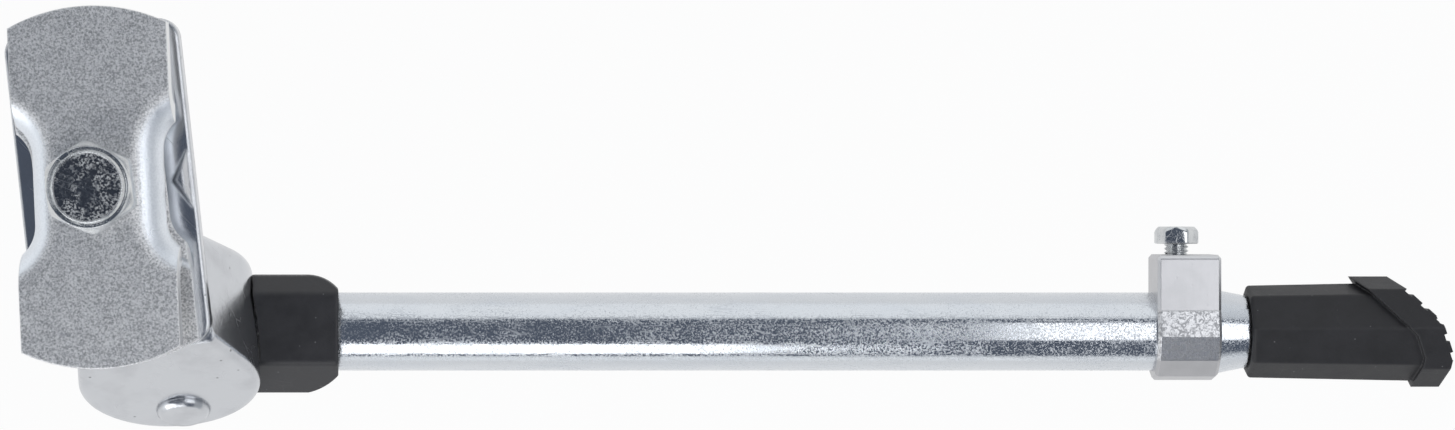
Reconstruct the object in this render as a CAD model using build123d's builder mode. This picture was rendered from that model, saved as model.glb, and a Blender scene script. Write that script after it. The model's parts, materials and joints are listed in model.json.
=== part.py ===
from build123d import *
from math import acos, atan2, cos, degrees, radians, sin, tan
import os

# Bicycle kickstand with a two-plate chainstay clamp, a cast head and an adjustable folding leg.
# Millimetres. +Z is up the clamp bolt, +X points rearwards along the folded leg, and the origin
# is on the bolt's axis at the head's top face, where the lower clamp plate lies.

# Clamp plates: two like pressings, with flat ends and sides rolled over at the waist
plate_width = 30.2
plate_length = 69.0
plate_corner_length = 61.6
plate_thickness = 3.0
plate_flat_half = 6.6
plate_waist_straight = 6.6
plate_waist_radius = 13.0
roll_outer_radius = 6.0
roll_angle = 80.0
roll_flank = 0.6
top_plate_twist = -3.7
plate_gap = 0.1

# Clamp bolt, M10 with a hexagon head
bolt_diameter = 10.0
bolt_clearance = 0.3
bolt_thread_clearance = 0.05
bolt_head_across_flats = 16.0
bolt_head_height = 6.4
bolt_head_chamfer = 3.3
bolt_tip_chamfer = 1.3
bolt_length = 35.0

# Head casting
flange_width = 34.0
flange_length = 63.4
flange_thickness = 3.0
flange_corner = 4.0
flange_edge_round = 0.6
boss_radius = 10.5
boss_length = 14.0
web_thickness = 6.0
web_length = 19.0
body_round_radius = 17.95
body_round_height = 9.7
body_offset = -0.65
body_left_lean = 12.0
body_near = 18.0
body_far = 13.4
body_draft = 3.0
body_far_draft = 12.7
body_edge_round = 1.6
body_far_round = 4.5
lug_depth = 3.4
lug_base = 11.4
lug_height = 2.2
lug_taper = 20.0
lug_inset = 0.8

# Pivot: the pin leans up towards the near side, so that the leg swings down and outwards
pivot_x = 5.45
pivot_y = -29.9
pivot_z = -34.0
pivot_lean = 30.0
pin_diameter = 10.4
pin_proud = 1.5
pin_chamfer = 0.8
pin_fit = 0.02
pivot_clearance = 0.05
cam_flat_depth = 0.4
fold_angle = 105.0

# Knuckle: the eye on the pin, its arm, and the spigot that the tube is pressed on
leg_cant = 6.26
eye_radius = 8.0
arm_half_height = 6.0
tongue_thickness = 9.0
tongue_clearance = 0.2
swing_clearance = 0.4
arm_edge_round = 3.8
shoulder_start = 18.0
shoulder_length = 2.5
spigot_length = 26.0
spigot_chamfer = 1.0

# Detent inside the knuckle
detent_bore = 4.4
detent_clearance = 0.05
plunger_gap = 0.15
plunger_length = 8.5
plunger_tip_round = 0.6
spring_wire = 0.8
spring_length = 18.0
spring_turns = 6
spring_gap = 0.1
plug_length = 6.0

# Leg tube, end collar and guide bush
tube_diameter = 16.0
tube_wall = 1.3
collar_start = 198.6
collar_length = 12.9
collar_radius = 10.0
collar_facets = 12
collar_facet_turn = 4.0
collar_bore_fit = 0.02
boss_reach = 15.8
boss_front = 8.8
boss_back = 5.7
boss_round = 1.2
collar_edge = 0.6
bush_inner_length = 16.0
bush_nose_length = 6.0
bush_nose_large = 17.2
bush_nose_small = 14.8
bush_fit = 0.02

# Clamp screw in the collar, M5 with a hexagon head
screw_diameter = 5.0
screw_clearance = 0.05
screw_hole_clearance = 0.2
screw_head_across_flats = 8.0
screw_head_height = 3.5
screw_head_chamfer = 0.6
screw_standoff = 2.2
screw_offset = -1.45
screw_tip_gap = 0.1

# Sliding rod and rubber foot
rod_diameter = 11.0
rod_clearance = 0.1
rod_start = 108.6
rod_end = 241.6
rod_chamfer = 0.8
foot_gap = 0.4
foot_tip = 258.3
foot_facets = 8
foot_facet_turn = -6.0
foot_mouth_radius = 9.5
foot_sole_radius = 10.3
foot_band_length = 5.6
foot_band_proud = 1.1
foot_sole_angle = 45.0
foot_edge_round = 0.8
foot_toe_reach = 4.5
foot_tip_angle = 21.0
foot_tip_length = 7.7
foot_toe_tilt = -10.0
foot_fit = 0.02
tread_ribs = 5
tread_width = 1.6
tread_depth = 0.6
tread_pitch = 4.0

# Moulded sleeve over the knuckle and the tube's end
sleeve_gap = 0.3
sleeve_start = 14.0
sleeve_end = 31.8
sleeve_fit = 0.05
sleeve_half_height = 9.8
sleeve_far_side = 11.6
sleeve_far_flat = 5.0
sleeve_far_top = 8.0
sleeve_near_side = 12.9
sleeve_near_top = 6.2
sleeve_near_drop = 0.6
sleeve_edge_round = 1.6
sleeve_far_corner_length = 6.4
sleeve_far_corner_width = 3.0
sleeve_near_corner_length = 9.0
sleeve_near_corner_width = 4.2
sleeve_back_lean = 7.6
sleeve_back_edge = 0.5

os.makedirs("parts", exist_ok=True)


def hexagon_radius(across_flats):
    return across_flats / 2 / cos(radians(30))


# The pivot plane looks down the pin: its x is +X, its y leans with the head, its normal runs
# out of the head's near face. The leg plane stands across the leg, with the leg as its normal.
pivot_point = Vector(pivot_x, pivot_y, pivot_z)
pin_direction = Vector(0, -cos(radians(pivot_lean)), sin(radians(pivot_lean)))
pivot_plane = Plane(origin=pivot_point, x_dir=(1, 0, 0), z_dir=pin_direction)
pin_axis = Axis(pivot_point, pin_direction)
far_face = pivot_plane.offset(-body_far).rotated((body_far_draft, 0, 0))
leg_direction = Vector(cos(radians(leg_cant)), -sin(radians(leg_cant)), 0)
leg_across = Vector(sin(radians(leg_cant)), cos(radians(leg_cant)), 0)
leg_plane = Plane(origin=pivot_point, x_dir=leg_across, z_dir=leg_direction)
leg_section = Plane(origin=pivot_point, x_dir=leg_direction, z_dir=(0, 0, 1))
leg_axis = Axis(pivot_point, leg_direction)

# Depth of the rolled side, from the plate's outer face to the lowest point of its edge
roll = radians(roll_angle)
roll_inner_radius = roll_outer_radius - plate_thickness
roll_depth = roll_outer_radius - roll_inner_radius * cos(roll) + roll_flank * sin(roll)
top_plate_height = 2 * roll_depth + plate_gap

tube_bore = tube_diameter - 2 * tube_wall
collar_end = collar_start + collar_length
nose_end = collar_end + bush_nose_length
foot_start = nose_end + foot_gap
screw_place = collar_start + collar_length / 2 + screw_offset
screw_tip = rod_diameter / 2 + screw_tip_gap


def clamp_plate(outer_face):
    """One clamp plate, with its flat outer face on the given plane and its sides rolled inwards."""
    inwards = -outer_face.z_dir
    hub_place = plate_flat_half + plate_waist_radius

    with BuildSketch(outer_face) as outline:
        with BuildLine():
            corner = Vector(plate_width / 2, plate_corner_length / 2)
            end = ThreePointArc(corner, (0, plate_length / 2), (-corner.X, corner.Y))
            tail = ThreePointArc((-corner.X, -corner.Y), (0, -plate_length / 2), (corner.X, -corner.Y))
            Line(end @ 1, tail @ 0)
            Line(tail @ 1, end @ 0)
        make_face()
    with BuildSketch(outer_face) as waists:
        with Locations((hub_place, 0), (-hub_place, 0)):
            SlotCenterToCenter(2 * plate_waist_straight, 2 * plate_waist_radius, rotation=90)
    with BuildSketch(outer_face) as bolt_hole:
        Circle(bolt_diameter / 2 + bolt_clearance)

    with BuildPart() as plate:
        extrude(outline.sketch, amount=plate_thickness, dir=inwards)
        extrude(waists.sketch, amount=plate_thickness, dir=inwards, mode=Mode.SUBTRACT)
        for side, end in ((1, 1), (1, -1), (-1, 1), (-1, -1)):
            bend = outer_face.from_local_coords(Vector(side * plate_flat_half, end * plate_waist_straight))
            hub = outer_face.from_local_coords(Vector(side * hub_place, end * plate_waist_straight))
            section = Plane(bend, x_dir=outer_face.x_dir * side, z_dir=outer_face.y_dir * -side)
            with BuildSketch(section) as rolled:
                with BuildLine():
                    outer = CenterArc((0, -roll_outer_radius), roll_outer_radius, 90, -roll_angle)
                    inner = CenterArc((0, -roll_outer_radius), roll_inner_radius, 90, -roll_angle)
                    flank = (outer % 1) * roll_flank
                    Polyline(outer @ 1, outer @ 1 + flank, inner @ 1 + flank, inner @ 1)
                    Line(outer @ 0, inner @ 0)
                make_face()
            extrude(rolled.sketch, amount=plate_waist_straight, dir=outer_face.y_dir * -end)
            revolve(rolled.sketch, axis=Axis(hub, outer_face.z_dir * -side * end), revolution_arc=90)
        extrude(outline.sketch, amount=2 * roll_depth, dir=inwards, mode=Mode.INTERSECT)
        extrude(bolt_hole.sketch, amount=plate_thickness, dir=inwards, mode=Mode.SUBTRACT)
    return plate


lower_plate = clamp_plate(Plane(origin=(0, 0, 0), x_dir=(1, 0, 0), z_dir=(0, 0, -1)))
lower_plate.part.label = "lower_plate"
export_step(lower_plate.part, "parts/lower_plate.step")

top_face = Plane.XY.offset(top_plate_height).rotated((0, 0, top_plate_twist))
top_plate = clamp_plate(top_face)
top_plate.part.label = "top_plate"
export_step(top_plate.part, "parts/top_plate.step")

# Clamp bolt: the head's crown is turned to a cone, and the shank goes down into the boss
with BuildPart() as clamp_bolt:
    with BuildSketch(Plane.XY.offset(top_plate_height)):
        RegularPolygon(bolt_head_across_flats / 2, 6, major_radius=False, rotation=30)
    extrude(amount=bolt_head_height)
    with BuildSketch(Plane.XZ):
        with BuildLine():
            crown = top_plate_height + bolt_head_height
            wide = hexagon_radius(bolt_head_across_flats) + bolt_head_chamfer
            flat = bolt_head_across_flats / 2 - bolt_head_chamfer / 2
            drop = (wide - flat) * tan(radians(30))
            Polyline((0, crown), (flat, crown), (wide, crown - drop), (wide, 0), (0, 0), close=True)
        make_face()
    revolve(axis=Axis.Z, mode=Mode.INTERSECT)
    with BuildSketch(Plane.XY.offset(top_plate_height)):
        Circle(bolt_diameter / 2)
    extrude(amount=-bolt_length)
    chamfer(clamp_bolt.faces().sort_by(Axis.Z)[0].edges(), bolt_tip_chamfer)
clamp_bolt.part.label = "clamp_bolt"
export_step(clamp_bolt.part, "parts/clamp_bolt.step")

# The head's body: round below, its right side a plane from the belly up to the flange's edge
near_height = (abs(pivot_z) - body_near * sin(radians(pivot_lean))) / cos(radians(pivot_lean))
belly_centre = Vector(body_offset, body_round_height)
to_flange = Vector(flange_width / 2 - pivot_x, near_height) - belly_centre
body_right_lean = degrees(atan2(to_flange.Y, to_flange.X) - acos(body_round_radius / to_flange.length))
far_margin = body_round_radius * tan(radians(body_far_draft))
body_length = body_near + body_far + far_margin


def body_block(grow):
    """The body from its near face backwards, narrowing with the draft and grown by the given amount."""
    with BuildPart() as block:
        with BuildSketch(pivot_plane.offset(body_near)):
            with BuildLine():
                sweep_angle = 180 + body_right_lean + body_left_lean
                belly = CenterArc(belly_centre, body_round_radius + grow, 180 - body_left_lean, sweep_angle)
                right = Line(belly @ 1, belly @ 1 + (belly % 1) * 2 * abs(pivot_z))
                left = Line(belly @ 0, belly @ 0 - (belly % 0) * 2 * abs(pivot_z))
                Line(right @ 1, left @ 1)
            make_face()
        extrude(amount=-body_length, taper=body_draft)
    return block.part


# Head casting: the body square to the pin, under a flange that carries the clamp
with BuildPart() as head:
    add(body_block(0))
    split(bisect_by=far_face, keep=Keep.TOP)
    fillet(head.faces().sort_by(pin_axis)[-1].edges(), body_edge_round)
    fillet(head.faces().sort_by(pin_axis)[0].edges(), body_far_round)
    split(bisect_by=Plane.XY.offset(-flange_thickness / 2), keep=Keep.BOTTOM)
    with BuildSketch(Plane.XY):
        RectangleRounded(flange_width, flange_length, flange_corner)
    extrude(amount=-flange_thickness)
    fillet(head.faces().sort_by(Axis.Z)[-1].edges(), flange_edge_round)
    with BuildSketch(Plane.XY.offset(-flange_thickness)):
        Circle(boss_radius)
    extrude(amount=-boss_length)
    with BuildSketch(Plane.YZ):
        with BuildLine():
            foot_of_web = boss_radius + web_length
            Polyline(
                (0, -flange_thickness / 2),
                (foot_of_web, -flange_thickness / 2),
                (foot_of_web, -flange_thickness),
                (boss_radius - 1, -flange_thickness - boss_length),
                (0, -flange_thickness - boss_length),
                close=True,
            )
        make_face()
    extrude(amount=web_thickness / 2, both=True)
    with BuildSketch(pivot_plane):
        Circle(eye_radius + swing_clearance)
        slot_reach = 2 * body_round_radius
        slot_height = arm_half_height + swing_clearance
        with Locations((0, slot_height)):
            Rectangle(slot_reach, slot_height + slot_reach, align=(Align.MIN, Align.MAX))
        with Locations(Location((0, 0, 0), (0, 0, -fold_angle))):
            Rectangle(slot_reach, 2 * slot_height, align=(Align.MIN, Align.CENTER))
    extrude(amount=tongue_thickness / 2 + tongue_clearance, both=True, mode=Mode.SUBTRACT)
    with BuildSketch(pivot_plane.offset(body_near)):
        Circle(pin_diameter / 2 + pin_fit)
    extrude(amount=-body_length, mode=Mode.SUBTRACT)
    with BuildSketch(Plane.XY):
        Circle(bolt_diameter / 2 + bolt_thread_clearance)
    extrude(amount=-flange_thickness - boss_length, mode=Mode.SUBTRACT)
    for side in (1, -1):
        base_x = side * (flange_width / 2 - lug_inset)
        apex_x = base_x - side * lug_depth
        with BuildSketch():
            with BuildLine():
                Polyline((base_x, lug_base / 2), (apex_x, 0), (base_x, -lug_base / 2), close=True)
            make_face()
        extrude(amount=lug_height, taper=lug_taper)
head.part.label = "head"
export_step(head.part, "parts/head.step")

# Pivot pin, fixed in both cheeks, with a flat for the detent at each end of the swing
with BuildPart() as pivot_pin:
    with BuildSketch(pivot_plane.offset(-body_far)):
        Circle(pin_diameter / 2)
    extrude(amount=body_far + body_near + pin_proud)
    ends = pivot_pin.faces().filter_by(pin_axis)
    chamfer(ends.edges(), pin_chamfer)
    with BuildSketch(pivot_plane):
        for turn in (0, -fold_angle):
            with Locations(Location((0, 0, 0), (0, 0, turn))):
                with Locations((pin_diameter / 2 - cam_flat_depth, 0)):
                    Rectangle(pin_diameter, pin_diameter, align=(Align.MIN, Align.CENTER))
    extrude(amount=detent_bore / 2 + cam_flat_depth, both=True, mode=Mode.SUBTRACT)
pivot_pin.part.label = "pivot_pin"
export_step(pivot_pin.part, "parts/pivot_pin.step")

# Knuckle: the eye turns on the pin between the cheeks, and the spigot fills the tube's end
spigot_start = shoulder_start + shoulder_length
spigot_end = spigot_start + spigot_length
with BuildPart() as knuckle:
    with BuildSketch(pivot_plane):
        Circle(eye_radius)
        Rectangle(shoulder_start + 1, 2 * arm_half_height, align=(Align.MIN, Align.CENTER))
    extrude(amount=tongue_thickness / 2, both=True)
    fillet(knuckle.edges().filter_by(Axis.X), arm_edge_round)
    with BuildSketch(leg_plane.offset(shoulder_start)):
        Circle(tube_diameter / 2)
    extrude(amount=shoulder_length)
    with BuildSketch(leg_plane.offset(spigot_start)):
        Circle(tube_bore / 2 - pin_fit)
    extrude(amount=spigot_length)
    chamfer(knuckle.faces().sort_by(leg_axis)[-1].edges(), spigot_chamfer)
    with BuildSketch(pivot_plane):
        Circle(pin_diameter / 2 + pivot_clearance)
    extrude(amount=tongue_thickness, both=True, mode=Mode.SUBTRACT)
    with BuildSketch(leg_plane):
        Circle(detent_bore / 2)
    extrude(amount=spigot_end, mode=Mode.SUBTRACT)
knuckle.part.label = "knuckle"
export_step(knuckle.part, "parts/knuckle.step")

# Detent: a plunger, its spring and the plug that backs the spring, in line inside the knuckle
plunger_start = pin_diameter / 2 + plunger_gap
plunger_end = plunger_start + plunger_length
with BuildPart() as detent_plunger:
    with BuildSketch(leg_plane.offset(plunger_start)):
        Circle(detent_bore / 2 - detent_clearance)
    extrude(amount=plunger_length)
    fillet(detent_plunger.faces().sort_by(leg_axis)[0].edges(), plunger_tip_round)
detent_plunger.part.label = "detent_plunger"
export_step(detent_plunger.part, "parts/detent_plunger.step")

spring_start = plunger_end + spring_gap
spring_end = spring_start + spring_length
with BuildPart() as detent_spring:
    with BuildLine() as coil:
        coil_height = spring_length - spring_wire
        Helix(
            pitch=coil_height / spring_turns,
            height=coil_height,
            radius=detent_bore / 2 - spring_gap - spring_wire / 2,
            center=pivot_point + leg_direction * (spring_start + spring_wire / 2),
            direction=leg_direction,
        )
    with BuildSketch(Plane(origin=coil.line @ 0, z_dir=coil.line % 0)):
        Circle(spring_wire / 2)
    sweep()
detent_spring.part.label = "detent_spring"
export_step(detent_spring.part, "parts/detent_spring.step")

with BuildPart() as spring_plug:
    with BuildSketch(leg_plane.offset(spring_end + spring_gap)):
        Circle(detent_bore / 2 - pin_fit)
    extrude(amount=plug_length)
spring_plug.part.label = "spring_plug"
export_step(spring_plug.part, "parts/spring_plug.step")

# Sleeve: a moulded seven-sided cover, fitted to the head's side in front and rounded off behind
back_wall = leg_direction * tan(radians(sleeve_back_lean)) + Vector(0, 0, 1)
with BuildPart() as sleeve:
    with BuildSketch(leg_plane.offset(sleeve_start)):
        with BuildLine():
            Polyline(
                (sleeve_far_side, sleeve_far_flat),
                (sleeve_far_top, sleeve_half_height),
                (-sleeve_near_top, sleeve_half_height),
                (-sleeve_near_side, -sleeve_near_drop),
                (-sleeve_near_top, -sleeve_half_height),
                (sleeve_far_top, -sleeve_half_height),
                (sleeve_far_side, -sleeve_far_flat),
                close=True,
            )
        make_face()
    extrude(amount=sleeve_end + sleeve_half_height - sleeve_start)
    fillet(sleeve.edges().filter_by(leg_axis), sleeve_edge_round)
    with BuildSketch(leg_section):
        with BuildLine():
            far_start = (sleeve_end - sleeve_far_corner_length, sleeve_far_side)
            far_line = Line((0, sleeve_far_side), far_start)
            far_end = (sleeve_end, sleeve_far_side - sleeve_far_corner_width)
            far_corner = TangentArc(far_start, far_end, tangent=far_line % 1)
            near_start = (sleeve_end - sleeve_near_corner_length, -sleeve_near_side)
            near_line = Line((0, -sleeve_near_side), near_start)
            near_end = (sleeve_end, sleeve_near_corner_width - sleeve_near_side)
            near_corner = TangentArc(near_start, near_end, tangent=near_line % 1)
            Line(far_corner @ 1, near_corner @ 1)
            Line(far_line @ 0, near_line @ 0)
        make_face()
    extrude(amount=2 * sleeve_half_height, dir=back_wall, both=True, mode=Mode.INTERSECT)
    fillet(sleeve.faces().sort_by(leg_axis)[-1].edges(), sleeve_back_edge)
    add(body_block(sleeve_gap), mode=Mode.SUBTRACT)
    with BuildSketch(leg_plane):
        Circle(tube_diameter / 2 + sleeve_fit)
    extrude(amount=sleeve_end + sleeve_half_height, mode=Mode.SUBTRACT)
sleeve.part.label = "sleeve"
export_step(sleeve.part, "parts/sleeve.step")

# The screw's line crosses the leg in the collar, through the tube and the bush
screw_plane = Plane(
    origin=pivot_point + leg_direction * screw_place, x_dir=leg_direction, z_dir=leg_across
)

with BuildPart() as leg_tube:
    with BuildSketch(leg_plane.offset(spigot_start)):
        Circle(tube_diameter / 2)
        Circle(tube_bore / 2, mode=Mode.SUBTRACT)
    extrude(amount=collar_end - spigot_start)
    with BuildSketch(screw_plane):
        Circle(screw_diameter / 2 + screw_hole_clearance)
    extrude(amount=tube_diameter, mode=Mode.SUBTRACT)
leg_tube.part.label = "leg_tube"
export_step(leg_tube.part, "parts/leg_tube.step")

with BuildPart() as guide_bush:
    with BuildSketch(leg_section):
        with BuildLine():
            inner = rod_diameter / 2 + rod_clearance
            outer = tube_bore / 2 - bush_fit
            Polyline(
                (collar_end - bush_inner_length, inner),
                (collar_end - bush_inner_length, outer),
                (collar_end, outer),
                (collar_end, bush_nose_large / 2),
                (nose_end, bush_nose_small / 2),
                (nose_end, inner),
                close=True,
            )
        make_face()
    revolve(axis=leg_axis)
    with BuildSketch(screw_plane):
        Circle(screw_diameter / 2 + screw_hole_clearance)
    extrude(amount=tube_diameter, mode=Mode.SUBTRACT)
guide_bush.part.label = "guide_bush"
export_step(guide_bush.part, "parts/guide_bush.step")

# Collar: a faceted ring on the tube's end with a square boss for the clamp screw
with BuildPart() as collar:
    with BuildSketch(leg_plane.offset(collar_start)):
        RegularPolygon(collar_radius, collar_facets, rotation=collar_facet_turn)
        with Locations((0, (boss_front - boss_back) / 2)):
            Rectangle(boss_reach, boss_front + boss_back, align=(Align.MIN, Align.CENTER))
        Circle(tube_diameter / 2 + collar_bore_fit, mode=Mode.SUBTRACT)
    extrude(amount=collar_length)
    boss_top = collar.faces().sort_by(Axis(pivot_point, leg_across))[-1]
    fillet(boss_top.edges().filter_by(leg_axis), boss_round)
    ends = collar.faces().filter_by(leg_axis)
    chamfer(ends.edges() - ends.edges().filter_by(GeomType.CIRCLE), collar_edge)
    with BuildSketch(screw_plane):
        Circle(screw_diameter / 2 + screw_clearance)
    extrude(amount=2 * boss_reach, mode=Mode.SUBTRACT)
collar.part.label = "collar"
export_step(collar.part, "parts/collar.step")

# Clamp screw, with its head standing off the boss
with BuildPart() as clamp_screw:
    head_base = boss_reach + screw_standoff
    with BuildSketch(screw_plane.offset(head_base)):
        RegularPolygon(screw_head_across_flats / 2, 6, major_radius=False)
    extrude(amount=screw_head_height)
    with BuildSketch(leg_section):
        with BuildLine():
            crown = head_base + screw_head_height
            wide = hexagon_radius(screw_head_across_flats) + screw_head_chamfer
            flat = screw_head_across_flats / 2 - screw_head_chamfer / 2
            drop = (wide - flat) * tan(radians(30))
            Polyline(
                (screw_place, crown),
                (screw_place + flat, crown),
                (screw_place + wide, crown - drop),
                (screw_place + wide, head_base),
                (screw_place, head_base),
                close=True,
            )
        make_face()
    revolve(axis=Axis(screw_plane.origin, leg_across), mode=Mode.INTERSECT)
    with BuildSketch(screw_plane.offset(screw_tip)):
        Circle(screw_diameter / 2)
    extrude(amount=head_base - screw_tip)
    chamfer(clamp_screw.faces().sort_by(Axis(pivot_point, leg_across))[0].edges(), screw_head_chamfer)
clamp_screw.part.label = "clamp_screw"
export_step(clamp_screw.part, "parts/clamp_screw.step")

# Sliding rod: it runs in the guide bush, and the foot is pressed on its end
with BuildPart() as slide_rod:
    with BuildSketch(leg_plane.offset(rod_start)):
        Circle(rod_diameter / 2)
    extrude(amount=rod_end - rod_start)
    chamfer(slide_rod.edges().filter_by(GeomType.CIRCLE), rod_chamfer)
slide_rod.part.label = "slide_rod"
export_step(slide_rod.part, "parts/slide_rod.step")


# Foot: an eight-sided boot that widens to a slanted sole with a raised band and cross ribs
def foot_plane(along, across, tilt):
    """A plane across the foot's end, through a point beside the leg, its normal tilted outwards."""
    origin = pivot_point + leg_direction * along + leg_across * across
    normal = leg_direction * cos(radians(tilt)) + leg_across * sin(radians(tilt))
    return Plane(origin=origin, x_dir=(0, 0, 1), z_dir=normal)


tip_rise = foot_tip_length * cos(radians(foot_tip_angle))
tip_set_back = foot_tip_length * sin(radians(foot_tip_angle))
sole_faces = [
    foot_plane(foot_tip - tip_set_back, tip_rise - foot_toe_reach, foot_sole_angle),
    foot_plane(foot_tip, -foot_toe_reach, foot_tip_angle),
    foot_plane(foot_tip, -foot_toe_reach, foot_toe_tilt),
]


def sole_block(inset):
    """The foot's end as a plain eight-sided block, cut by the sole's planes set in by the given amount."""
    with BuildPart() as block:
        with BuildSketch(leg_plane.offset(foot_start)):
            RegularPolygon(foot_sole_radius + foot_band_proud, foot_facets, rotation=foot_facet_turn)
        extrude(amount=foot_tip - foot_start + foot_sole_radius)
        for face in sole_faces:
            split(bisect_by=face.offset(-inset), keep=Keep.BOTTOM)
        fillet(block.edges().filter_by(leg_axis), foot_edge_round)
    return block.part


with BuildPart() as foot:
    with BuildSketch(leg_plane.offset(foot_start)):
        RegularPolygon(foot_mouth_radius, foot_facets, rotation=foot_facet_turn)
    with BuildSketch(leg_plane.offset(foot_tip)):
        RegularPolygon(foot_sole_radius, foot_facets, rotation=foot_facet_turn)
    loft()
    fillet(foot.edges() - foot.faces().sort_by(leg_axis)[-1].edges(), foot_edge_round)
    for face in sole_faces:
        split(bisect_by=face.offset(-foot_band_length / 2), keep=Keep.BOTTOM)
    add(sole_block(0) - sole_block(foot_band_length))
    for face in sole_faces[:2]:
        with BuildSketch(face):
            with GridLocations(1, tread_pitch, 1, tread_ribs):
                Rectangle(4 * foot_sole_radius, tread_width)
        extrude(amount=-tread_depth, mode=Mode.SUBTRACT)
    with BuildSketch(leg_plane.offset(foot_start)):
        Circle(rod_diameter / 2 + foot_fit)
    extrude(amount=rod_end - foot_start, mode=Mode.SUBTRACT)
foot.part.label = "foot"
export_step(foot.part, "parts/foot.step")
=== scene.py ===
import json
from math import atan2, cos, pi, radians, sin

import bmesh
import bpy
from mathutils import Matrix, Vector


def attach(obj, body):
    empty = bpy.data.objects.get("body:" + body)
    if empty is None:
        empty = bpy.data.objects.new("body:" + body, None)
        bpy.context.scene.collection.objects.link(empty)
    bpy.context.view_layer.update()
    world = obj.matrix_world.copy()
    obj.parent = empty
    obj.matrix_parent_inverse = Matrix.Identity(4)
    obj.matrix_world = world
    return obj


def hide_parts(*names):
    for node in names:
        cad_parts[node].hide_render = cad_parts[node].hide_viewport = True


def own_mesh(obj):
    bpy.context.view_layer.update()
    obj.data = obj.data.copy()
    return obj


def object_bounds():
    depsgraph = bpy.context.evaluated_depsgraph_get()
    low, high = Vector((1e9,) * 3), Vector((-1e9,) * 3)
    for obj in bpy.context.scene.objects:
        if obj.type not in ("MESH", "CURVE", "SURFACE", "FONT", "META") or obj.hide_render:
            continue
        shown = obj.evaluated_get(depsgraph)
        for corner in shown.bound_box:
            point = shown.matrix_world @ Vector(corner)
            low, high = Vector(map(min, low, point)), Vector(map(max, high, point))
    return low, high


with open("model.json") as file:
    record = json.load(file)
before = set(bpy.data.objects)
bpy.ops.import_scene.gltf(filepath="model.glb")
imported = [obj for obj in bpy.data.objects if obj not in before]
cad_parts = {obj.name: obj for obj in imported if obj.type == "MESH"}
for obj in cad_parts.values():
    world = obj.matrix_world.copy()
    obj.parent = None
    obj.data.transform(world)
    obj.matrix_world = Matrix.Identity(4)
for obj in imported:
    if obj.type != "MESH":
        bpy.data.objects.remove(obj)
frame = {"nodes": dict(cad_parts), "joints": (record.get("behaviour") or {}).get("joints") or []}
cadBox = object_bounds()
nodes = frame["nodes"]
joints = {joint["name"]: joint for joint in frame["joints"]}
print("frame loaded:", len(nodes), "pieces")

# The leg's own directions, taken from the joints
pivot = Vector(joints["leg_fold"]["pos_m"])
legAlong = Vector(joints["length_adjust"]["axis"])
legAcross = Vector(joints["screw_turn"]["axis"])
up = Vector((0, 0, 1))
legTurn = atan2(legAlong.y, legAlong.x)


# Small helpers for shader trees
def addNode(tree, kind, **settings):
    node = tree.nodes.new("ShaderNode" + kind)
    for key, value in settings.items():
        setattr(node, key, value)
    return node


def feed(tree, socket, value):
    if isinstance(value, bpy.types.NodeSocket):
        tree.links.new(value, socket)
    else:
        socket.default_value = value


def calc(tree, operation, first, second=0.0, clamp=False):
    node = addNode(tree, "Math", operation=operation, use_clamp=clamp)
    feed(tree, node.inputs[0], first)
    feed(tree, node.inputs[1], second)
    return node.outputs[0]


def plus(tree, first, second):
    return calc(tree, "ADD", first, second)


def minus(tree, first, second):
    return calc(tree, "SUBTRACT", first, second)


def times(tree, first, second):
    return calc(tree, "MULTIPLY", first, second)


def larger(tree, first, second):
    return calc(tree, "MAXIMUM", first, second)


def span(tree, value, low, high, toLow=0.0, toHigh=1.0):
    node = addNode(tree, "MapRange", interpolation_type="SMOOTHSTEP")
    for socket, number in zip(node.inputs, (value, low, high, toLow, toHigh)):
        feed(tree, socket, number)
    return node.outputs["Result"]


def tint(tree, share, first, second):
    node = addNode(tree, "Mix", data_type="RGBA")
    feed(tree, node.inputs["Factor"], share)
    feed(tree, node.inputs[6], first)  # the colour sockets share their names with the float ones
    feed(tree, node.inputs[7], second)
    return node.outputs[2]


def noise(tree, place, scale, detail=4.0, rough=0.55, warp=0.0):
    node = addNode(tree, "TexNoise")
    feed(tree, node.inputs["Vector"], place)
    feed(tree, node.inputs["Scale"], scale)
    node.inputs["Detail"].default_value = detail
    node.inputs["Roughness"].default_value = rough
    node.inputs["Distortion"].default_value = warp
    return node.outputs["Fac"]


def turned(tree, place, angle):
    node = addNode(tree, "VectorRotate", rotation_type="Z_AXIS")
    feed(tree, node.inputs["Vector"], place)
    feed(tree, node.inputs["Angle"], angle)
    return node.outputs["Vector"]


def stretched(tree, place, scale):
    node = addNode(tree, "Mapping")
    feed(tree, node.inputs["Vector"], place)
    node.inputs["Scale"].default_value = scale
    return node.outputs["Vector"]


def split(tree, vector):
    node = addNode(tree, "SeparateXYZ")
    feed(tree, node.inputs["Vector"], vector)
    return node.outputs


def newGroup(name, inputs, outputs):
    tree = bpy.data.node_groups.new(name, "ShaderNodeTree")
    for label, kind, value in inputs:
        socket = tree.interface.new_socket(label, in_out="INPUT", socket_type="NodeSocket" + kind)
        if value is not None:
            socket.default_value = value
    for label, kind in outputs:
        tree.interface.new_socket(label, in_out="OUTPUT", socket_type="NodeSocket" + kind)
    return tree, tree.nodes.new("NodeGroupInput").outputs, tree.nodes.new("NodeGroupOutput").inputs


def useGroup(tree, group, **values):
    node = addNode(tree, "Group", node_tree=group)
    for label, value in values.items():
        feed(tree, node.inputs[label], value)
    return node.outputs


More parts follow.
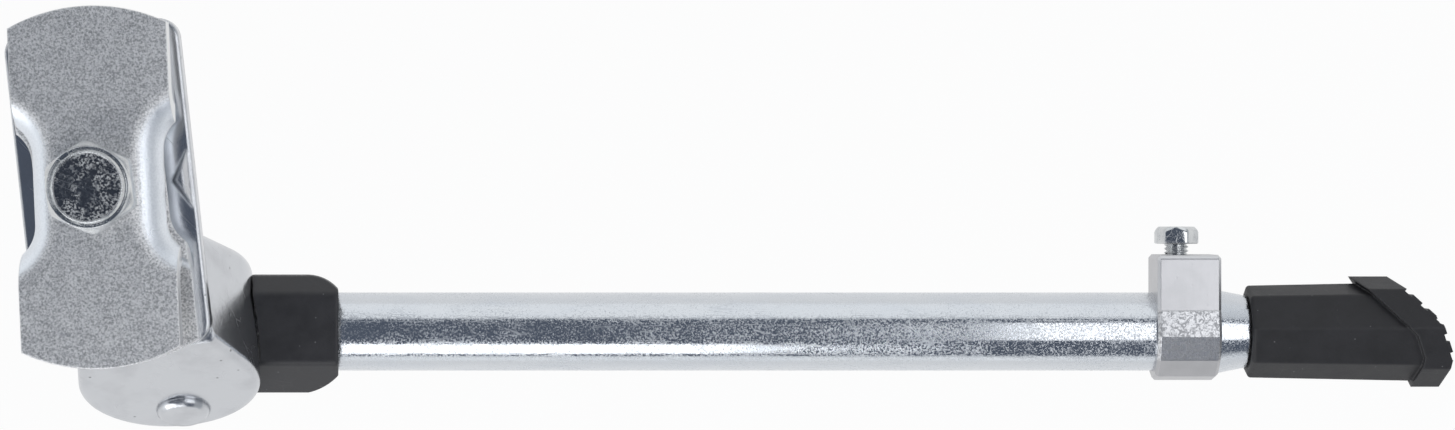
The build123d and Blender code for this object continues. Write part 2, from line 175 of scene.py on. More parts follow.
# Edge mask: how far the surface turns within a small radius, used for rubbed wear on most parts and for a
# painted highlight along the collar's edges, and the eased normal
def makeEdgeWearAndHighlight():
    tree, given, out = newGroup(
        "edgeWearAndHighlight",
        [("Radius", "Float", 0.0004), ("Gain", "Float", 6.0)],
        [("Mask", "Float"), ("Normal", "Vector")],
    )
    bevel = addNode(tree, "Bevel", samples=6)
    feed(tree, bevel.inputs["Radius"], given["Radius"])
    surface = addNode(tree, "NewGeometry")
    agree = addNode(tree, "VectorMath", operation="DOT_PRODUCT")
    feed(tree, agree.inputs[0], bevel.outputs["Normal"])
    feed(tree, agree.inputs[1], surface.outputs["Normal"])
    bend = minus(tree, 1.0, agree.outputs["Value"])
    feed(tree, out["Mask"], calc(tree, "MULTIPLY", bend, given["Gain"], clamp=True))
    feed(tree, out["Normal"], bevel.outputs["Normal"])
    return tree


# Fine grain: even crystal or blast texture, with a slower mottle under it
def makeFineGrain():
    tree, given, out = newGroup(
        "fineGrain",
        [("Vector", "Vector", None), ("Scale", "Float", 2000.0), ("Mottle", "Float", 150.0)],
        [("Grain", "Float"), ("Mottle", "Float")],
    )
    feed(tree, out["Grain"], noise(tree, given["Vector"], given["Scale"], detail=4.0, rough=0.75))
    feed(tree, out["Mottle"], noise(tree, given["Vector"], given["Mottle"], detail=5.0, rough=0.6))
    return tree


# Handling marks: long thin lines that come and go in patches
scratchPatch = {"scale": 180.0, "detail": 2.0, "full": 0.75}


def makeScratches():
    tree, given, out = newGroup(
        "scratches",
        [
            ("Vector", "Vector", None),
            ("Scale", "Float", 300.0),
            ("Stretch", "Float", 0.05),
            ("Turn", "Float", 0.0),
            ("Width", "Float", 0.02),
            ("Amount", "Float", 0.5),
        ],
        [("Mask", "Float")],
    )
    stretch = addNode(tree, "CombineXYZ")
    feed(tree, stretch.inputs["X"], given["Stretch"])
    stretch.inputs["Y"].default_value = 1.0
    stretch.inputs["Z"].default_value = 1.0
    place = addNode(tree, "VectorMath", operation="MULTIPLY")
    feed(tree, place.inputs[0], turned(tree, given["Vector"], given["Turn"]))
    feed(tree, place.inputs[1], stretch.outputs["Vector"])
    cells = addNode(tree, "TexVoronoi", feature="DISTANCE_TO_EDGE")
    feed(tree, cells.inputs["Vector"], place.outputs["Vector"])
    feed(tree, cells.inputs["Scale"], given["Scale"])
    lines = span(tree, cells.outputs["Distance"], 0.0, given["Width"], 1.0, 0.0)
    patch = noise(tree, given["Vector"], scratchPatch["scale"], detail=scratchPatch["detail"])
    full = scratchPatch["full"]
    shown = span(tree, patch, minus(tree, full, given["Amount"]), full)
    feed(tree, out["Mask"], times(tree, lines, shown))
    return tree


# Pits and dust: small round spots in some of the cells
speckCore = 0.4  # share of a spot's size that is solid


def makeSpecks():
    tree, given, out = newGroup(
        "specks",
        [
            ("Vector", "Vector", None),
            ("Scale", "Float", 800.0),
            ("Size", "Float", 0.2),
            ("Amount", "Float", 0.3),
        ],
        [("Mask", "Float")],
    )
    cells = addNode(tree, "TexVoronoi")
    feed(tree, cells.inputs["Vector"], given["Vector"])
    feed(tree, cells.inputs["Scale"], given["Scale"])
    core = times(tree, given["Size"], speckCore)
    spot = span(tree, cells.outputs["Distance"], core, given["Size"], 1.0, 0.0)
    pick = addNode(tree, "SeparateColor")
    feed(tree, pick.inputs["Color"], cells.outputs["Color"])
    chosen = calc(tree, "LESS_THAN", pick.outputs["Red"], given["Amount"])
    feed(tree, out["Mask"], times(tree, spot, chosen))
    return tree


edgeWearAndHighlight = makeEdgeWearAndHighlight()
fineGrain = makeFineGrain()
scratches = makeScratches()
specks = makeSpecks()
print("shader groups made")


# A material starts with its shader and the piece's own coordinates, turned to lie along the leg
def startMaterial(name, turn=0.0):
    material = bpy.data.materials.new(name)
    material.use_nodes = True
    tree = material.node_tree
    shader = tree.nodes["Principled BSDF"]
    place = addNode(tree, "TexCoord").outputs["Object"]
    if turn:
        place = turned(tree, place, -turn)
    return material, tree, shader, place


def setMetal(tree, shader, colour, rough):
    feed(tree, shader.inputs["Base Color"], colour)
    feed(tree, shader.inputs["Roughness"], rough)
    shader.inputs["Metallic"].default_value = 1.0


def addBump(tree, shader, height, normal, strength, distance):
    bump = addNode(tree, "Bump")
    bump.inputs["Strength"].default_value = strength
    bump.inputs["Distance"].default_value = distance
    feed(tree, bump.inputs["Height"], height)
    feed(tree, bump.inputs["Normal"], normal)
    feed(tree, shader.inputs["Normal"], bump.outputs["Normal"])


# Pressed plates: blast-grained zinc, smoother and less grained on the rolled flanks, whose pale bluish
# tint is painted reflection, torn along the sheared edges
plateFinish = {
    "dark": (0.40, 0.405, 0.415, 1),
    "light": (1.0, 1.0, 1.0, 1),
    # flank: the rolled flanks' own smoother tone, tinted pale blue as a painted reflection of the tent
    "flank": (0.83, 0.875, 0.93, 1),
    "sheared": (0.86, 0.865, 0.87, 1),
    "grain": {"Scale": 2400.0, "Mottle": 260.0},
    "edge": {"Radius": 0.0005, "Gain": 5.0},
    "marks": {"Scale": 500.0, "Stretch": 0.08, "Turn": 0.6, "Width": 0.03, "Amount": 0.3},
    "flankSpan": (0.99, 0.85),  # of the normal's height
    "wallSpan": (0.25, 0.08),
    "flankPaintedReflectionShare": 0.85,
    "grainShare": 0.92,
    "mottleShare": 0.08,
    "grainSpan": (0.34, 0.62),
    "roughFlat": 0.50,
    "roughFlank": 0.34,
    "roughMottle": 0.05,
    "roughMarks": 0.12,
    "mottleMiddle": 0.5,
    "tornStretch": (1.0, 1.0, 0.15),
    "tornScale": 1800.0,
    "markDepth": 0.3,
    "bump": {"strength": 0.55, "distance": 0.00012},
}


def makePressedZinc():
    look = plateFinish
    material, tree, shader, place = startMaterial("pressedZinc")
    grain = useGroup(tree, fineGrain, Vector=place, **look["grain"])
    rubbed = useGroup(tree, edgeWearAndHighlight, **look["edge"])
    marks = useGroup(tree, scratches, Vector=place, **look["marks"])["Mask"]
    facing = split(tree, addNode(tree, "NewGeometry").outputs["True Normal"])
    level = calc(tree, "ABSOLUTE", facing["Z"])
    flank = span(tree, level, *look["flankSpan"])
    wall = span(tree, level, *look["wallSpan"])

    coarse = times(tree, grain["Mottle"], look["mottleShare"])
    mixed = plus(tree, times(tree, grain["Grain"], look["grainShare"]), coarse)
    plain = tint(tree, span(tree, mixed, *look["grainSpan"]), look["dark"], look["light"])
    # the flanks take a pale bluish colour: painted reflection over their smoother, less grained finish
    smooth = tint(tree, times(tree, flank, look["flankPaintedReflectionShare"]), plain, look["flank"])
    colour = tint(tree, larger(tree, wall, rubbed["Mask"]), smooth, look["sheared"])
    rough = span(tree, flank, 0.0, 1.0, look["roughFlat"], look["roughFlank"])
    uneven = times(tree, minus(tree, grain["Mottle"], look["mottleMiddle"]), look["roughMottle"])
    rough = minus(tree, plus(tree, rough, uneven), times(tree, marks, look["roughMarks"]))
    setMetal(tree, shader, colour, rough)

    torn = noise(tree, stretched(tree, place, look["tornStretch"]), look["tornScale"])
    height = tint(tree, wall, grain["Grain"], torn)
    height = minus(tree, height, times(tree, marks, look["markDepth"]))
    addBump(tree, shader, height, rubbed["Normal"], **look["bump"])
    return material


# Bright zinc on the fasteners: smooth, with a painted dark reflection on the crown's faces that face
# along the axis, scuffed in patches
fastenerFinish = {
    "bright": (0.70, 0.715, 0.72, 1),
    "dull": (0.56, 0.575, 0.59, 1),
    # crown: a painted dark reflection of the ceiling on the faces along the axis
    "crown": (0.27, 0.275, 0.285, 1),
    "grain": {"Scale": 2400.0, "Mottle": 260.0},
    "edge": {"Radius": 0.0003, "Gain": 5.0},
    "firstMarks": {"Scale": 420.0, "Stretch": 0.12, "Turn": 0.5, "Width": 0.035, "Amount": 0.45},
    "secondMarks": {"Scale": 600.0, "Stretch": 0.2, "Turn": 2.1, "Width": 0.03, "Amount": 0.4},
    "dents": {"Scale": 1300.0, "Size": 0.38, "Amount": 0.4},
    "crownSpan": (0.97, 0.995),  # of the normal along the fastener's axis; faces past it get the painted dark reflection
    "wornSpan": (0.40, 0.55, 0.25, 1.0),
    "wornElsewhere": 0.1,
    "prickSpan": (0.52, 0.57),
    "lineShare": 0.7,
    "stainSpan": (0.42, 0.68),
    "rough": 0.07,
    "roughMarks": 0.7,
    "ripple": 0.4,
    "bump": {"strength": 0.3, "distance": 0.0001},
}


def makeBrightZinc():
    look = fastenerFinish
    material, tree, shader, place = startMaterial("brightZinc")
    grain = useGroup(tree, fineGrain, Vector=place, **look["grain"])
    rubbed = useGroup(tree, edgeWearAndHighlight, **look["edge"])
    first = useGroup(tree, scratches, Vector=place, **look["firstMarks"])["Mask"]
    second = useGroup(tree, scratches, Vector=place, **look["secondMarks"])["Mask"]
    dents = useGroup(tree, specks, Vector=place, **look["dents"])["Mask"]
    facing = split(tree, addNode(tree, "TexCoord").outputs["Normal"])
    crown = span(tree, facing["Z"], *look["crownSpan"])
    worn = span(tree, grain["Mottle"], *look["wornSpan"])
    worn = times(tree, worn, larger(tree, crown, look["wornElsewhere"]))
    pricked = larger(tree, dents, span(tree, grain["Grain"], *look["prickSpan"]))
    lines = times(tree, larger(tree, first, second), look["lineShare"])
    marks = larger(tree, lines, times(tree, pricked, worn))

    stain = span(tree, grain["Mottle"], *look["stainSpan"])
    colour = tint(tree, stain, look["bright"], look["dull"])
    colour = tint(tree, rubbed["Mask"], colour, look["bright"])
    # faces along the axis take the dark crown colour, a painted reflection, except where marked
    paintedDarkReflection = times(tree, crown, calc(tree, "SUBTRACT", 1.0, marks, clamp=True))
    colour = tint(tree, paintedDarkReflection, colour, look["crown"])
    rough = plus(tree, look["rough"], times(tree, marks, look["roughMarks"]))
    setMetal(tree, shader, colour, rough)
    height = minus(tree, times(tree, grain["Mottle"], look["ripple"]), marks)
    addBump(tree, shader, height, rubbed["Normal"], **look["bump"])
    return material


# Plated casting: a smooth skin with a slight ripple, small pits and a few handling marks
castFinish = {
    "bright": (0.63, 0.645, 0.67, 1),
    "dull": (0.55, 0.56, 0.585, 1),
    "pit": (0.32, 0.33, 0.34, 1),
    "grain": {"Scale": 900.0, "Mottle": 110.0},
    "edge": {"Radius": 0.0009, "Gain": 3.0},
    "pits": {"Scale": 420.0, "Size": 0.16, "Amount": 0.22},
    "marks": {"Scale": 260.0, "Stretch": 0.1, "Turn": 0.9, "Width": 0.02, "Amount": 0.35},
    "stainSpan": (0.4, 0.75),
    "rough": 0.14,
    "roughMottle": 0.12,
    "roughMarks": 0.2,
    "grainDepth": 0.12,
    "pitDepth": 0.25,
    "bump": {"strength": 0.25, "distance": 0.0003},
}


def makeCastPlate():
    look = castFinish
    material, tree, shader, place = startMaterial("platedCasting")
    grain = useGroup(tree, fineGrain, Vector=place, **look["grain"])
    rubbed = useGroup(tree, edgeWearAndHighlight, **look["edge"])
    pits = useGroup(tree, specks, Vector=place, **look["pits"])["Mask"]
    marks = useGroup(tree, scratches, Vector=place, **look["marks"])["Mask"]
    stain = span(tree, grain["Mottle"], *look["stainSpan"])
    colour = tint(tree, stain, look["bright"], look["dull"])
    colour = tint(tree, pits, colour, look["pit"])
    rough = plus(tree, look["rough"], times(tree, grain["Mottle"], look["roughMottle"]))
    rough = plus(tree, rough, times(tree, marks, look["roughMarks"]))
    setMetal(tree, shader, colour, rough)
    height = plus(tree, grain["Mottle"], times(tree, grain["Grain"], look["grainDepth"]))
    height = minus(tree, height, times(tree, pits, look["pitDepth"]))
    addBump(tree, shader, height, rubbed["Normal"], **look["bump"])
    return material


# Drawn tube: bright plating with scuffs along and aslant, and pricks in patches
tubeFinish = {
    "bright": (0.70, 0.725, 0.755, 1),
    "dull": (0.67, 0.70, 0.74, 1),
    "drawn": (0.28, 1.0, 1.0),
    "grain": {"Scale": 2600.0, "Mottle": 240.0},
    "pricks": {"Scale": 2600.0, "Mottle": 90.0},
    "edge": {"Radius": 0.0003, "Gain": 4.0},
    "alongMarks": {"Scale": 520.0, "Stretch": 0.05, "Turn": 0.03, "Width": 0.03, "Amount": 0.45},
    "slantedMarks": {"Scale": 380.0, "Stretch": 0.12, "Turn": 0.9, "Width": 0.025, "Amount": 0.4},
    "dots": {"Scale": 1500.0, "Size": 0.34, "Amount": 0.3},
    "wornSpan": (0.36, 0.60, 0.5, 1.0),
    "prickSpan": (0.48, 0.66),
    "lineShare": 0.7,
    "stainSpan": (0.4, 0.72),
    "rough": 0.08,
    "roughStain": 0.06,
    "roughMarks": 0.55,
    "grainDepth": 0.3,
    "bump": {"strength": 0.14, "distance": 0.0001},
}


def makeBrightTube():
    look = tubeFinish
    material, tree, shader, place = startMaterial("brightTube", legTurn)
    grain = useGroup(tree, fineGrain, Vector=stretched(tree, place, look["drawn"]), **look["grain"])
    pricks = useGroup(tree, fineGrain, Vector=place, **look["pricks"])
    rubbed = useGroup(tree, edgeWearAndHighlight, **look["edge"])
    along = useGroup(tree, scratches, Vector=place, **look["alongMarks"])["Mask"]
    slanted = useGroup(tree, scratches, Vector=place, **look["slantedMarks"])["Mask"]
    dots = useGroup(tree, specks, Vector=place, **look["dots"])["Mask"]
    worn = span(tree, pricks["Mottle"], *look["wornSpan"])
    raised = times(tree, span(tree, pricks["Grain"], *look["prickSpan"]), worn)
    marks = times(tree, larger(tree, along, slanted), look["lineShare"])
    marks = larger(tree, marks, times(tree, dots, worn))
    marks = larger(tree, marks, raised)

    stain = span(tree, grain["Mottle"], *look["stainSpan"])
    colour = tint(tree, stain, look["bright"], look["dull"])
    rough = plus(tree, look["rough"], times(tree, stain, look["roughStain"]))
    rough = plus(tree, rough, times(tree, marks, look["roughMarks"]))
    setMetal(tree, shader, colour, rough)
    height = plus(tree, marks, times(tree, grain["Grain"], look["grainDepth"]))
    addBump(tree, shader, height, rubbed["Normal"], **look["bump"])
    return material


# Collar: satin plating with a grain across the leg, a wrinkled ring, painted highlights on the boss's
# sloped bevels and painted highlight lines along the edges
collarFinish = {
    "bright": (0.49, 0.49, 0.505, 1),
    "dull": (0.45, 0.452, 0.465, 1),
    # facet: the ring's own paler plating, also used as a painted highlight along the collar's edges
    "facetAndEdgeHighlight": (0.70, 0.705, 0.72, 1),
    "fold": (0.40, 0.405, 0.42, 1),
    # bevel: painted highlight on the boss's sloped faces
    "bevel": (0.66, 0.665, 0.68, 1),
    "brushed": (1.0, 0.12, 0.12),
    "grain": {"Scale": 2600.0, "Mottle": 900.0},
    "edge": {"Radius": 0.0002, "Gain": 4.0},
    "pits": {"Scale": 650.0, "Size": 0.2, "Amount": 0.2},
    "patchScale": 260.0,
    "patchShare": 0.75,
    "mottleShare": 0.25,
    "stainSpan": (0.36, 0.68),
    "bossEdge": 0.0047,  # from the leg's axis, as is foldEnd
    "foldEnd": -0.0056,
    "fade": 0.0003,
    "folds": {"scale": 1300.0, "detail": 3.0, "rough": 0.6, "warp": 1.2},
    "foldSpan": (0.44, 0.60),
    "bevelHighlightTop": (0.97, 0.88),  # of the normal's height; sloped faces on the boss get the painted highlight
    "bevelHighlightFoot": (0.1, 0.4),
    "rough": 0.31,
    "roughFolds": 0.15,
    "grainDepth": 0.12,
    "pitDepth": 0.2,
    "foldDepth": 0.9,
    "bump": {"strength": 0.4, "distance": 0.0001},
}


def makeSatinCollar():
    look = collarFinish
    material, tree, shader, place = startMaterial("satinCollar", legTurn)
    grain = useGroup(tree, fineGrain, Vector=stretched(tree, place, look["brushed"]), **look["grain"])
    patch = noise(tree, place, look["patchScale"])
    rubbed = useGroup(tree, edgeWearAndHighlight, **look["edge"])
    pits = useGroup(tree, specks, Vector=place, **look["pits"])["Mask"]
    fine = times(tree, grain["Mottle"], look["mottleShare"])
    cloudy = plus(tree, fine, times(tree, patch, look["patchShare"]))
    stain = span(tree, cloudy, *look["stainSpan"])

    across = minus(tree, split(tree, place)["Y"], pivot.dot(legAcross))
    bossEdge, foldEnd, fade = look["bossEdge"], look["foldEnd"], look["fade"]
    below = span(tree, across, bossEdge, bossEdge - fade)
    ring = times(tree, below, span(tree, across, foldEnd, foldEnd + fade))
    folds = noise(tree, place, **look["folds"])
    wrinkled = times(tree, span(tree, folds, *look["foldSpan"]), ring)
    facing = split(tree, addNode(tree, "TexCoord").outputs["Normal"])
    sloped = span(tree, facing["Z"], *look["bevelHighlightTop"])
    sloped = times(tree, sloped, span(tree, facing["Z"], *look["bevelHighlightFoot"]))
    boss = span(tree, across, bossEdge - fade, bossEdge)

    colour = tint(tree, stain, look["bright"], look["dull"])
    colour = tint(tree, ring, colour, look["facetAndEdgeHighlight"])
    colour = tint(tree, wrinkled, colour, look["fold"])
    # the collar's edges are painted pale: a painted highlight, not wear
    colour = tint(tree, rubbed["Mask"], colour, look["facetAndEdgeHighlight"])
    # sloped faces on the boss are painted paler: a painted highlight
    colour = tint(tree, times(tree, sloped, boss), colour, look["bevel"])
    rough = plus(tree, look["rough"], times(tree, wrinkled, look["roughFolds"]))
    setMetal(tree, shader, colour, rough)
    height = times(tree, grain["Grain"], look["grainDepth"])
    height = minus(tree, height, times(tree, pits, look["pitDepth"]))
    height = plus(tree, height, times(tree, times(tree, folds, ring), look["foldDepth"]))
    addBump(tree, shader, height, rubbed["Normal"], **look["bump"])
    return material


# Inner steel: turned parts that show little, with rings round their length
steelFinish = {
    "bright": (0.70, 0.70, 0.705, 1),
    "dull": (0.45, 0.45, 0.46, 1),
    "turned": (1.0, 0.06, 0.06),
    "grain": {"Scale": 2200.0, "Mottle": 500.0},
    "edge": {"Radius": 0.0003, "Gain": 4.0},
    "pits": {"Scale": 900.0, "Size": 0.2, "Amount": 0.2},
    "stainSpan": (0.38, 0.7),
    "rough": 0.24,
    "roughPits": 0.2,
    "roughStain": 0.08,
    "bump": {"strength": 0.15, "distance": 0.0001},
}


def makeTurnedSteel():
    look = steelFinish
    material, tree, shader, place = startMaterial("turnedSteel", legTurn)
    grain = useGroup(tree, fineGrain, Vector=stretched(tree, place, look["turned"]), **look["grain"])
    rubbed = useGroup(tree, edgeWearAndHighlight, **look["edge"])
    pits = useGroup(tree, specks, Vector=place, **look["pits"])["Mask"]
    stain = span(tree, grain["Mottle"], *look["stainSpan"])
    colour = tint(tree, stain, look["bright"], look["dull"])
    colour = tint(tree, rubbed["Mask"], colour, look["bright"])
    rough = plus(tree, look["rough"], times(tree, pits, look["roughPits"]))
    rough = plus(tree, rough, times(tree, stain, look["roughStain"]))
    setMetal(tree, shader, colour, rough)
    addBump(tree, shader, grain["Grain"], rubbed["Normal"], **look["bump"])
    return material


# Moulded black parts: a fine spark texture, paler where the edges rub
mouldedSkin = {
    "mottle": 190.0,
    "edgeGain": 4.0,
    "dust": {"Scale": 620.0, "Size": 0.13, "Amount": 0.16},
    "marks": {"Scale": 240.0, "Stretch": 0.12, "Turn": 0.7, "Width": 0.02, "Amount": 0.35},
    "shadeSpan": (0.3, 0.7),
    "dustShare": 0.8,
    "roughShade": 0.08,
    "roughMarks": 0.1,
    "markDepth": 0.4,
    "bumpDistance": 0.0001,
}
sleeveFinish = {
    "dark": (0.019, 0.019, 0.022, 1),
    "light": (0.030, 0.030, 0.034, 1),
    "rubbed": (0.16, 0.16, 0.165, 1),
    "grainScale": 2800.0,
    "edgeRadius": 0.0006,
    "rough": 0.46,
    "gloss": 0.5,
    "bump": 0.30,
    "rub": 0.25,
}
footFinish = {
    "dark": (0.012, 0.012, 0.014, 1),
    "light": (0.019, 0.019, 0.022, 1),
    "rubbed": (0.13, 0.13, 0.135, 1),
    "grainScale": 2200.0,
    "edgeRadius": 0.0007,
    "rough": 0.50,
    "gloss": 0.45,
    "bump": 0.35,
    "rub": 0.30,
}


def makeMoulded(name, look):
    common = mouldedSkin
    material, tree, shader, place = startMaterial(name, legTurn)
    grain = useGroup(tree, fineGrain, Vector=place, Scale=look["grainScale"], Mottle=common["mottle"])
    rubbed = useGroup(tree, edgeWearAndHighlight, Radius=look["edgeRadius"], Gain=common["edgeGain"])
    dust = useGroup(tree, specks, Vector=place, **common["dust"])["Mask"]
    marks = useGroup(tree, scratches, Vector=place, **common["marks"])["Mask"]
    shade = span(tree, grain["Mottle"], *common["shadeSpan"])
    colour = tint(tree, shade, look["dark"], look["light"])
    colour = tint(tree, times(tree, rubbed["Mask"], look["rub"]), colour, look["rubbed"])
    colour = tint(tree, times(tree, dust, common["dustShare"]), colour, look["rubbed"])
    feed(tree, shader.inputs["Base Color"], colour)
    shader.inputs["Specular IOR Level"].default_value = look["gloss"]
    rough = plus(tree, look["rough"], times(tree, shade, common["roughShade"]))
    rough = minus(tree, rough, times(tree, marks, common["roughMarks"]))
    feed(tree, shader.inputs["Roughness"], rough)
    height = minus(tree, grain["Grain"], times(tree, marks, common["markDepth"]))
    addBump(tree, shader, height, rubbed["Normal"], look["bump"], common["bumpDistance"])
    return material


pressedZinc = makePressedZinc()
brightZinc = makeBrightZinc()
platedCasting = makeCastPlate()
brightTube = makeBrightTube()
satinCollar = makeSatinCollar()
turnedSteel = makeTurnedSteel()
sleevePlastic = makeMoulded("sleevePlastic", sleeveFinish)
footRubber = makeMoulded("footRubber", footFinish)
print("materials made")

# Each piece of the frame gets its finish
finishes = {
    pressedZinc: ["top_plate", "lower_plate"],
    platedCasting: ["head", "pivot_pin"],
    brightTube: ["leg_tube", "guide_bush"],
    satinCollar: ["collar"],
    brightZinc: ["clamp_bolt", "clamp_screw"],
    turnedSteel: ["knuckle", "detent_plunger", "detent_spring", "spring_plug", "slide_rod"],
    sleevePlastic: ["sleeve"],
    footRubber: ["foot"],
}


def dress(piece, material):
    if not piece.material_slots:
        piece.data.materials.append(material)
    for holder in piece.material_slots:
        holder.material = material


for material, names in finishes.items():
    for name in names:
        dress(nodes[name], material)
print("pieces dressed")


# Small helpers for meshes and objects
def toMesh(mesh, name):
    data = bpy.data.meshes.new(name)
    mesh.to_mesh(data)
    mesh.free()
    return data


def addObject(name, data):
    made = bpy.data.objects.new(name, data)
    bpy.context.scene.collection.objects.link(made)
    return made


def reachAlong(node, origin, axis):
    spans = [(vertex.co - origin).dot(axis) for vertex in nodes[node].data.vertices]
    return min(spans), max(spans)


# Threaded fasteners: a hexagon head with a turned crown, and a shank with a real thread
clampBolt = {
    "node": "clamp_bolt",
    "body": "top_jaw",
    "acrossFlats": 0.016,
    "acrossCorners": 0.0181,
    "headHeight": 0.0064,
    "turn": 0.0,  # degrees that the hexagon is turned on its axis
    "ease": 0.00006,
    "crown": [  # radius and drop below the top, from the hexagon in to the dished middle
        (0.00790, 0.00118),
        (0.00784, 0.00086),
        (0.00770, 0.00066),
        (0.00756, 0.00070),
        (0.00746, 0.00092),
        (0.00732, 0.00088),
        (0.00686, 0.00030),
        (0.00672, 0.00006),
        (0.00658, 0.0),
        (0.00646, 0.00008),
        (0.00640, 0.00034),
        (0.00600, 0.00038),
        (0.00250, 0.00038),
    ],
    "diameter": 0.010,
    "pitch": 0.0015,
    "tipChamfer": 0.0013,
}
clampScrew = {
    "node": "clamp_screw",
    "body": "screw",
    "acrossFlats": 0.008,
    "acrossCorners": 0.0091,
    "headHeight": 0.0035,
    "turn": -9.0,
    "ease": 0.00020,
    "crown": [
        (0.00376, 0.00006),
        (0.00366, 0.00001),
        (0.00345, 0.0),
        (0.00300, 0.00002),
        (0.00270, 0.00010),
        (0.00120, 0.00010),
    ],
    "diameter": 0.005,
    "pitch": 0.0008,
    "tipChamfer": 0.0006,
}
meshDetail = {
    "aroundHead": 144,
    "aroundThread": 48,
    "perPitch": 8,
    "threadDepth": 0.58,  # share of the pitch
    "threadRoot": 1.15,  # above 1, so that the root has a flat
    "threadSlope": 2.6,
    "cornerSharpness": 36,
    "underHead": 0.3,  # share of the shank's diameter
    "sharpAngle": 28.0,
}


def hexRadius(angle, size):
    sharp = meshDetail["cornerSharpness"]
    fromFlat = (angle - radians(size["turn"]) + pi / 6) % (pi / 3) - pi / 6
    flat = size["acrossFlats"] / 2 / cos(fromFlat)
    corner = size["acrossCorners"] / 2
    return corner * ((corner / flat) ** sharp + 1) ** (-1 / sharp)


def skin(mesh, rings):
    for lower, upper in zip(rings, rings[1:]):
        for i in range(len(lower)):
            j = (i + 1) % len(lower)
            mesh.faces.new((lower[i], lower[j], upper[j], upper[i]))


def addRing(mesh, count, shape):
    return [mesh.verts.new(shape(2 * pi * i / count)) for i in range(count)]


def hexHead(mesh, size):
    ease = size["ease"]
    top = size["headHeight"]
    shoulder, shoulderDrop = size["crown"][0]
    brim = top - shoulderDrop

    def at(radius, height):
        return lambda angle: (radius * cos(angle), radius * sin(angle), height)

    def hexAt(inset, height, sloped=False):
        def shape(angle):
            radius = hexRadius(angle, size) - inset
            drop = max(radius - shoulder, 0) if sloped else 0  # a chamfer of 45 degrees
            return (radius * cos(angle), radius * sin(angle), height - drop)
        return shape

    shapes = [
        at(size["diameter"] * meshDetail["underHead"], 0),
        hexAt(ease, 0),
        hexAt(0, ease),
        hexAt(0, brim - ease * 2, sloped=True),
        hexAt(ease, brim - ease / 2, sloped=True),
    ]
    shapes += [at(radius, top - drop) for radius, drop in size["crown"]]
    rings = [addRing(mesh, meshDetail["aroundHead"], shape) for shape in shapes]
    skin(mesh, rings)
    mesh.faces.new(rings[-1])
    mesh.faces.new(list(reversed(rings[0])))


def threadedShank(mesh, size, length):
    pitch = size["pitch"]
    outer = size["diameter"] / 2
    steps = int(length / pitch * meshDetail["perPitch"])
    depth = pitch * meshDetail["threadDepth"]

    def ring(step):
        down = length * step / steps
        tip = max(0, down - (length - size["tipChamfer"]))

        def shape(angle):
            phase = (down / pitch + angle / (2 * pi)) % 1
            share = meshDetail["threadRoot"] - meshDetail["threadSlope"] * abs(phase - 0.5)
            radius = min(outer - depth * min(1, max(0, share)), outer - tip)
            return (radius * cos(angle), radius * sin(angle), -down)
        return shape

    rings = [addRing(mesh, meshDetail["aroundThread"], ring(step)) for step in range(steps + 1)]
    skin(mesh, list(reversed(rings)))
    mesh.faces.new(rings[0])
    mesh.faces.new(list(reversed(rings[-1])))


def makeFastener(size, origin, axis):
    low, high = reachAlong(size["node"], origin, axis)
    seat = high - size["headHeight"]
    mesh = bmesh.new()
    hexHead(mesh, size)
    threadedShank(mesh, size, seat - low)
    bmesh.ops.recalc_face_normals(mesh, faces=mesh.faces)
    data = toMesh(mesh, size["node"] + "Threaded")
    data.set_sharp_from_angle(angle=radians(meshDetail["sharpAngle"]))
    piece = addObject(size["node"] + "Threaded", data)
    piece.location = origin + axis * seat
    piece.rotation_mode = "QUATERNION"
    piece.rotation_quaternion = axis.to_track_quat("Z", "X")
    dress(piece, brightZinc)
    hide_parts(size["node"])
    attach(piece, size["body"])


makeFastener(clampBolt, Vector((0, 0, 0)), up)
makeFastener(clampScrew, Vector(joints["screw_turn"]["pos_m"]), legAcross)
print("fasteners made")

# The detent's spring shortens on the real stand as the plunger goes in; here it gets its own copy of the
# mesh, hung on the leg
springCoil = {"node": "detent_spring", "body": "leg", "joint": "detent_travel"}


def makeSpring(size):
    piece = addObject(size["node"] + "Coil", nodes[size["node"]].data.copy())
    dress(piece, turnedSteel)
    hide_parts(size["node"])
    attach(piece, size["body"])
    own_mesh(piece)


makeSpring(springCoil)
print("spring made")

# Where the camera hangs: over the leg's axis, from the pivot
cameraSet = {
    "height": 0.620,
    "frameWidth": 0.2983,
    "along": 0.1116,
    "across": 0.02388,
    "sensor": 36.0,
    "clipStart": 0.01,
}

# Table and tent: a white floor, pale walls, a dark ceiling and two softboxes
stage = {
    "floorSize": 12.0,
    "floorGap": 0.28,  # room for the leg to swing down
    "floorColour": (0.9, 0.9, 0.9, 1),
    "floorGlow": 0.94,
    "mirroredGlow": 0.74,
    "ceilingEnds": 1.4,  # the ceiling's edges, for a height of 1
    "ceilingNear": -4.0,
    "ceilingFar": 0.86,
    "ceilingEdge": 0.05,
    "lowest": 0.001,
    "ceiling": (0.095, 0.113, 0.150, 1),
    "walls": (0.96, 0.98, 1.0, 1),
    "endWall": (0.45, 0.47, 0.50, 1),
    "endSpan": (0.3, 0.7),
}
softboxes = {
    "nearSoftbox": {"along": -0.42, "tilt": -51.0, "distance": 0.70, "size": (0.86, 0.36), "power": 2.6},
    "endSoftbox": {"along": 0.50, "tilt": 2.0, "distance": 0.70, "size": (0.76, 0.66), "power": 2.8},
}


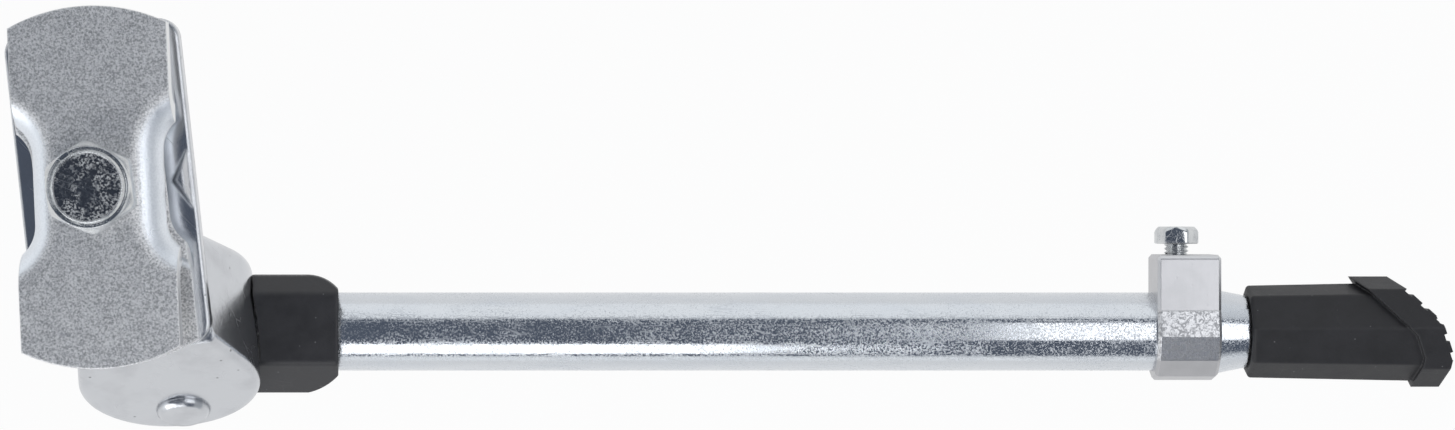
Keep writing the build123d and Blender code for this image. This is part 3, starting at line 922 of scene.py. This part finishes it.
def makeFloor():
    mesh = bmesh.new()
    bmesh.ops.create_grid(mesh, x_segments=1, y_segments=1, size=stage["floorSize"] / 2)
    floor = addObject("floor", toMesh(mesh, "floor"))
    floor.location = (pivot.x, pivot.y, cadBox[0][2] - stage["floorGap"])
    material = bpy.data.materials.new("paleTable")
    material.use_nodes = True
    tree = material.node_tree
    tree.nodes.remove(tree.nodes["Principled BSDF"])
    ray = addNode(tree, "LightPath").outputs
    mirrored = larger(tree, ray["Is Glossy Ray"], ray["Is Transmission Ray"])
    mirrored = times(tree, mirrored, stage["mirroredGlow"])
    seen = larger(tree, times(tree, ray["Is Camera Ray"], stage["floorGlow"]), mirrored)
    cloth = addNode(tree, "BsdfDiffuse")
    cloth.inputs["Color"].default_value = stage["floorColour"]
    glow = addNode(tree, "Emission")
    mix = addNode(tree, "MixShader")
    for socket, value in zip(mix.inputs, (seen, cloth.outputs[0], glow.outputs[0])):
        feed(tree, socket, value)
    feed(tree, tree.nodes["Material Output"].inputs["Surface"], mix.outputs[0])
    floor.data.materials.append(material)


def makeTent():
    world = bpy.data.worlds.new("tent")
    bpy.context.scene.world = world
    world.use_nodes = True
    tree = world.node_tree
    way = split(tree, turned(tree, addNode(tree, "TexCoord").outputs["Generated"], -legTurn))
    height = larger(tree, way["Z"], stage["lowest"])
    along = calc(tree, "ABSOLUTE", calc(tree, "DIVIDE", way["X"], height))
    across = calc(tree, "DIVIDE", way["Y"], height)
    edge = stage["ceilingEdge"]
    ends, near, far = stage["ceilingEnds"], stage["ceilingNear"], stage["ceilingFar"]
    inside = span(tree, along, ends + edge, ends - edge)
    inside = times(tree, inside, span(tree, across, near - edge, near + edge))
    inside = times(tree, inside, span(tree, across, far + edge, far - edge))
    walls = tint(tree, span(tree, way["X"], *stage["endSpan"]), stage["walls"], stage["endWall"])
    colour = tint(tree, inside, walls, stage["ceiling"])
    feed(tree, tree.nodes["Background"].inputs["Color"], colour)


def makeSoftbox(name, box):
    data = bpy.data.lights.new(name, "AREA")
    data.shape = "RECTANGLE"
    data.size, data.size_y = box["size"]
    data.energy = box["power"]
    lamp = addObject(name, data)
    tilt = radians(box["tilt"])
    away = legAcross * sin(tilt) + up * cos(tilt)  # from the leg up to the lamp
    lamp.location = pivot + legAlong * (cameraSet["along"] + box["along"]) + away * box["distance"]
    lamp.rotation_mode = "QUATERNION"
    lamp.rotation_quaternion = Matrix((legAlong, away.cross(legAlong), away)).transposed().to_quaternion()


makeFloor()
makeTent()
for name, box in softboxes.items():
    makeSoftbox(name, box)
print("stage made")

# The camera looks straight down on the stand, square to the leg
cameraData = bpy.data.cameras.new("camera")
cameraData.sensor_fit = "HORIZONTAL"
cameraData.sensor_width = cameraSet["sensor"]
cameraData.lens = cameraSet["sensor"] * cameraSet["height"] / cameraSet["frameWidth"]
cameraData.clip_start = cameraSet["clipStart"]
camera = addObject("camera", cameraData)
camera.location = (
    pivot + legAlong * cameraSet["along"] + legAcross * cameraSet["across"] + up * cameraSet["height"]
)
camera.rotation_euler = (0, 0, legTurn)
bpy.context.scene.camera = camera
bpy.context.scene.view_settings.view_transform = "Standard"
print("camera set")
